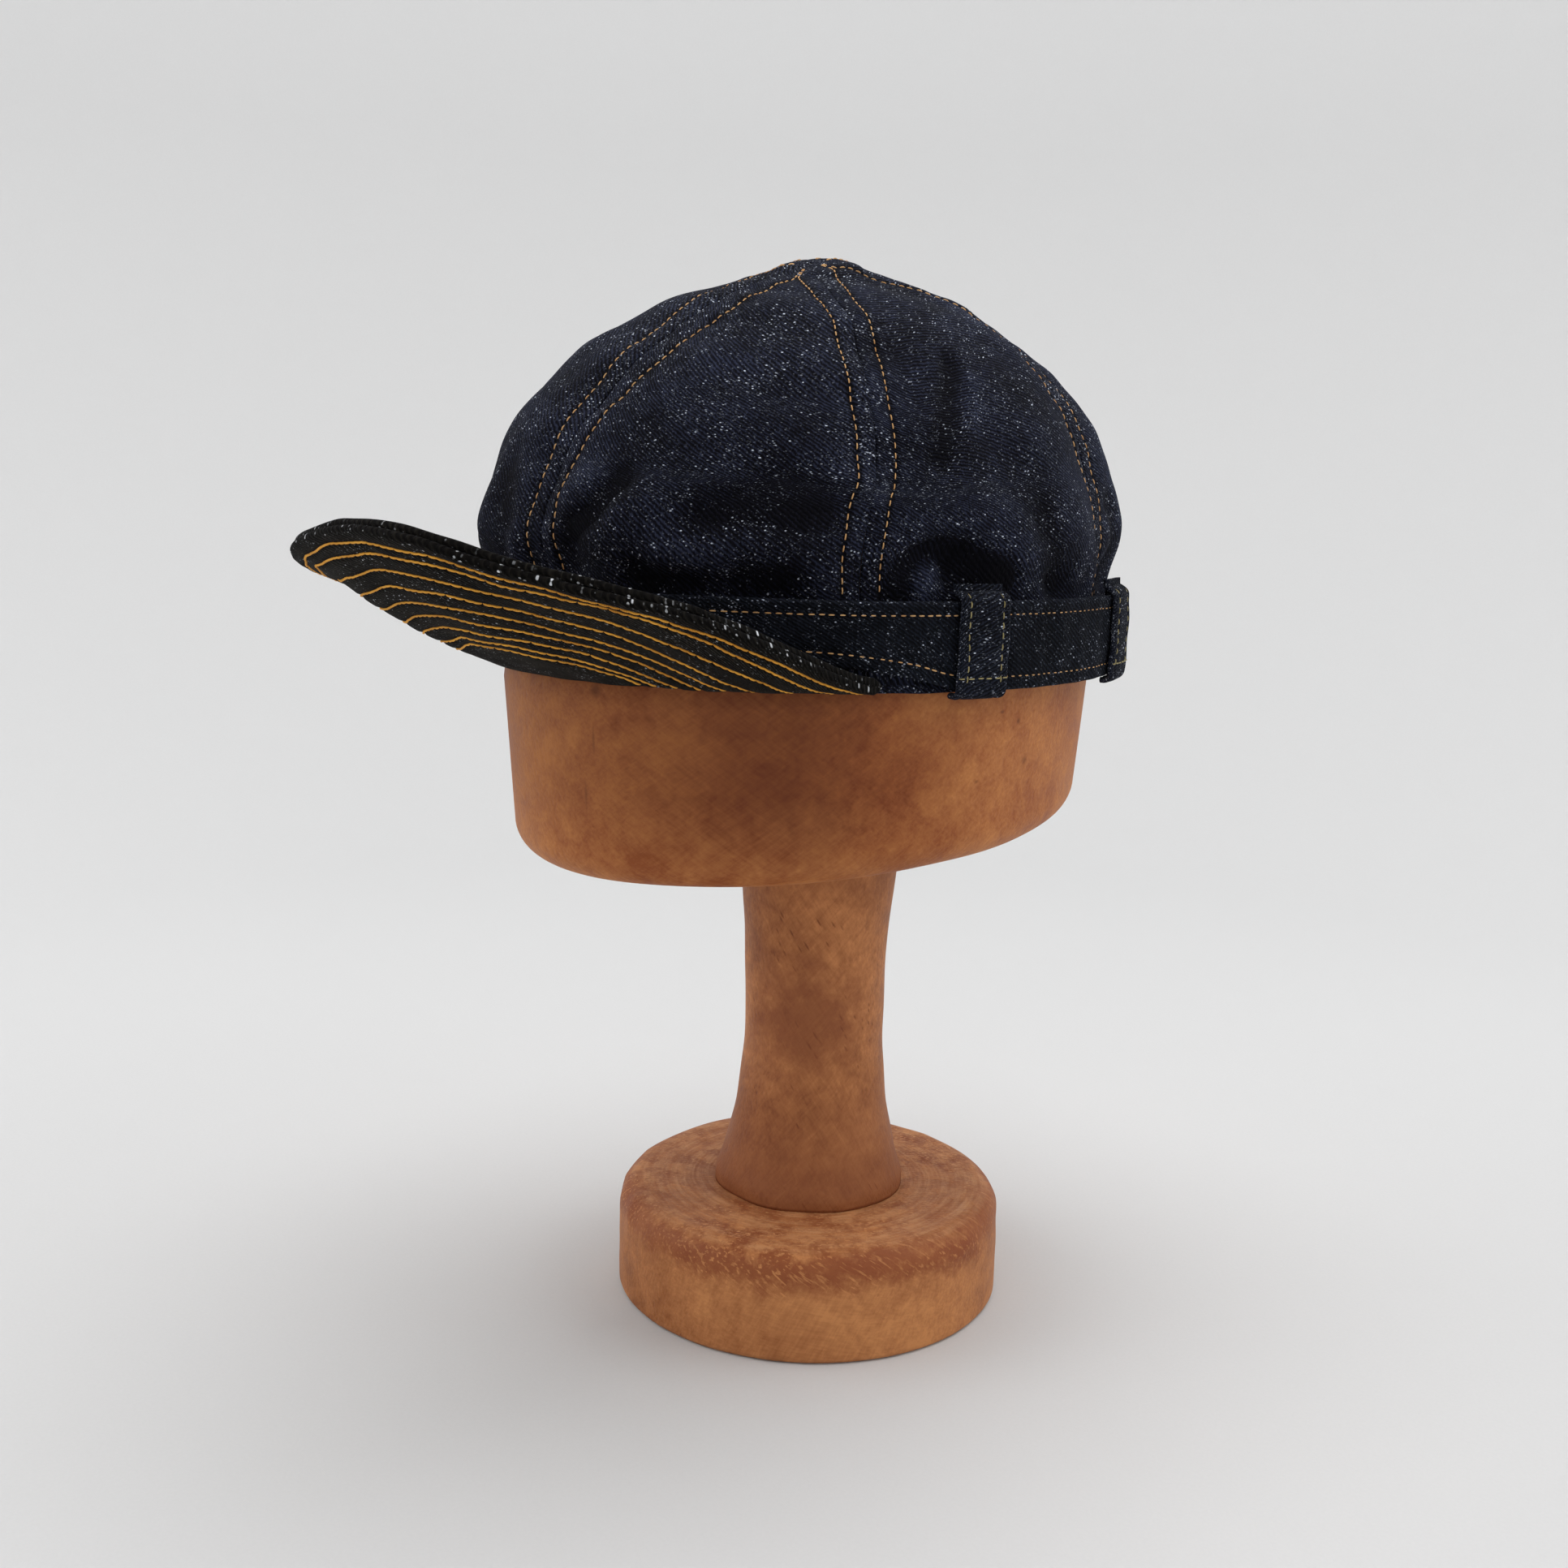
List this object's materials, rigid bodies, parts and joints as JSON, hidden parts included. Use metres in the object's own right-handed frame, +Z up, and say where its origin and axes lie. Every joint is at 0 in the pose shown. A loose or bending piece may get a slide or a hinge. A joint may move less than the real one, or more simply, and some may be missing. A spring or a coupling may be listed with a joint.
{
  "type": "railroad engineer cap on a wooden hat stand",
  "caption": "Round denim railroad engineer cap with a flipped-up stitched visor and a belt in loops, on a turned wooden hat stand.",
  "frame": {"origin": "centre of the underside of the stand's round base, on the surface it stands on", "axes": "+Z up, -Y towards the front of the cap where the visor is, +X towards its wearer's left"},
  "size_m": [0.1802, 0.2816, 0.3322],
  "materials": {
    "crown_denim": "dark indigo denim with white neps",
    "visor_denim": "dark indigo denim, orange stitched in rows below",
    "belt_denim": "dark indigo denim with tan topstitching",
    "stand_wood": "worn waxed wood"
  },
  "bodies": {
    "root": {"crown_panel_1": "crown_denim", "crown_panel_2": "crown_denim", "crown_panel_3": "crown_denim", "crown_panel_4": "crown_denim", "crown_panel_5": "crown_denim", "crown_panel_6": "crown_denim", "visor": "visor_denim", "belt": "belt_denim", "belt_loop_1": "belt_denim", "belt_loop_2": "belt_denim", "belt_loop_3": "belt_denim", "belt_loop_4": "belt_denim", "stand_block": "stand_wood", "stand_post": "stand_wood", "stand_base": "stand_wood"}
  },
  "joints": []
}
